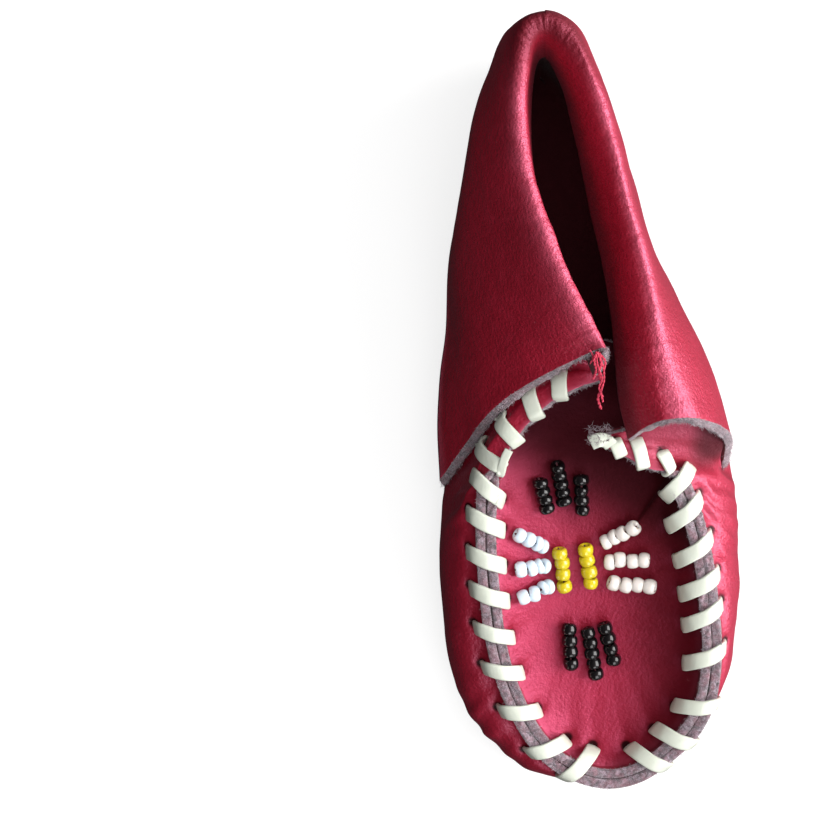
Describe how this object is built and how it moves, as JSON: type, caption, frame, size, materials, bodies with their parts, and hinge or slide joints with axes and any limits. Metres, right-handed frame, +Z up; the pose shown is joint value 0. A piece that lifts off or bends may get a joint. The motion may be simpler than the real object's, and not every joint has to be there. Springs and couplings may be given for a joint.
{
  "type": "moccasin",
  "caption": "Infant's soft red leather moccasin: one-piece bottom, beaded U-shaped plug with whip-laced seam, folded-over ankle cuff with two turned-down flaps",
  "frame": {"origin": "centre of the bounding box in plan, at the underside of the sole", "axes": "+Z up, toe towards -Y, heel towards +Y, +X to the right of the shoe seen from above with the toe towards the viewer"},
  "size_m": [0.0444, 0.1116, 0.0457],
  "materials": {
    "bottom": "smooth glazed red leather, satin sheen",
    "plug": "smooth glazed red leather, satin sheen",
    "cuff": "smooth glazed red leather, satin sheen",
    "lacing": "flat cream lacing, smooth and slightly waxy",
    "bead_white": "opaque white glass seed beads, glossy",
    "bead_yellow": "opaque yellow glass seed beads, glossy",
    "bead_black": "opaque black glass seed beads, glossy",
    "thread": "twisted sewing thread, matt"
  },
  "bodies": {
    "shoe": {"sole_and_sides": "bottom", "vamp_plug": "plug", "lace_left": "lacing", "lace_right": "lacing", "cuff_standing": "cuff", "cuff_heel": "cuff", "beads_white_left_1": "bead_white", "beads_white_left_2": "bead_white", "beads_white_left_3": "bead_white", "beads_yellow_1": "bead_yellow", "beads_yellow_2": "bead_yellow", "beads_white_right_1": "bead_white", "beads_white_right_2": "bead_white", "beads_white_right_3": "bead_white", "beads_black_upper_1": "bead_black", "beads_black_upper_2": "bead_black", "beads_black_upper_3": "bead_black", "beads_black_lower_1": "bead_black", "beads_black_lower_2": "bead_black", "beads_black_lower_3": "bead_black", "heel_seam_thread": "thread"},
    "cuff_left": {"cuff_flap_left": "cuff", "cuff_front_thread": "thread"},
    "cuff_right": {"cuff_flap_right": "cuff"}
  },
  "joints": [
    {"name": "cuff_left_turn", "type": "hinge", "parent": "shoe", "child": "cuff_left", "pos_m": [-0.00903, 0.02488, 0.0428], "axis": [-0.312, 0.945, 0.0977], "range_deg": [0, 100]},
    {"name": "cuff_right_turn", "type": "hinge", "parent": "shoe", "child": "cuff_right", "pos_m": [0.00736, 0.02066, 0.04085], "axis": [0.2854, -0.9529, -0.1024], "range_deg": [0, 100]}
  ]
}
